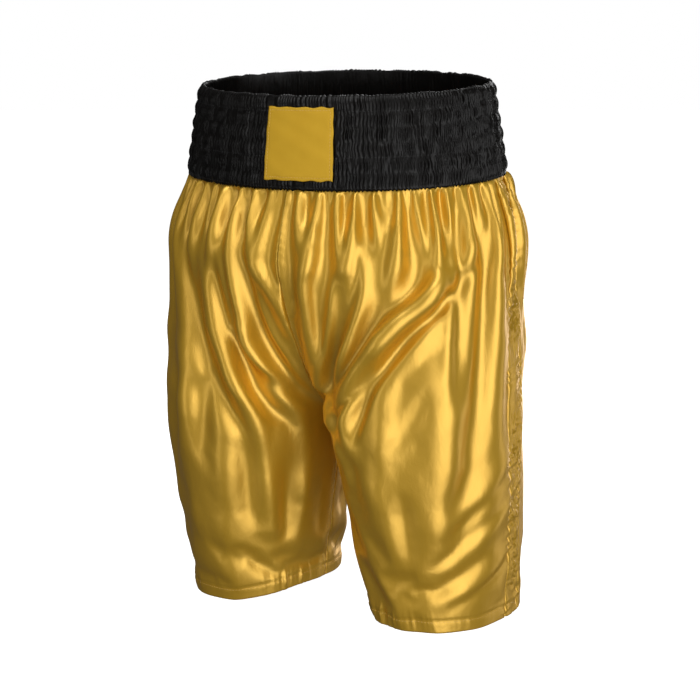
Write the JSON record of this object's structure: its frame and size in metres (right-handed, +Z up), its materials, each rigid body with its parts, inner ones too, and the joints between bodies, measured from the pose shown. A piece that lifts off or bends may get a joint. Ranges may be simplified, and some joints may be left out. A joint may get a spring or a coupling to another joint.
{
  "type": "boxing shorts",
  "caption": "Knee-length gold satin boxing shorts with a wide shirred black elastic waistband, blank front patch and narrow side strips, shaped as worn.",
  "frame": {"origin": "on the floor, centred between the two hems, under the middle of the garment's box", "axes": "+Z up towards the waistband, -Y out of the front, +X towards the wearer's left"},
  "size_m": [0.414, 0.2818, 0.5847],
  "materials": {
    "gold_satin": "glossy polyester satin",
    "black_satin": "shirred polyester satin",
    "patch_twill": "matt twill",
    "woven_elastic": "matt woven elastic",
    "gold_thread": "spun polyester thread",
    "black_thread": "spun polyester thread"
  },
  "bodies": {
    "root": {"waistband_casing": "black_satin", "waistband_elastic": "woven_elastic", "waist_seam_thread": "black_thread", "waistband_patch": "patch_twill", "patch_stitching": "gold_thread", "waistband_stitch_row_1": "black_thread", "waistband_stitch_row_2": "black_thread", "waistband_stitch_row_3": "black_thread", "waistband_stitch_row_4": "black_thread", "waistband_stitch_row_5": "black_thread", "front_panel_left": "gold_satin", "front_panel_right": "gold_satin", "side_strip_left": "gold_satin", "side_strip_right": "gold_satin", "back_panel_left": "gold_satin", "back_panel_right": "gold_satin", "front_rise_thread": "gold_thread", "back_rise_thread": "gold_thread", "inseam_thread_left": "gold_thread", "inseam_thread_right": "gold_thread", "side_seam_thread_front_left": "gold_thread", "side_seam_thread_front_right": "gold_thread", "side_seam_thread_back_left": "gold_thread", "side_seam_thread_back_right": "gold_thread", "hem_stitching_left": "gold_thread", "hem_stitching_right": "gold_thread"}
  },
  "joints": []
}
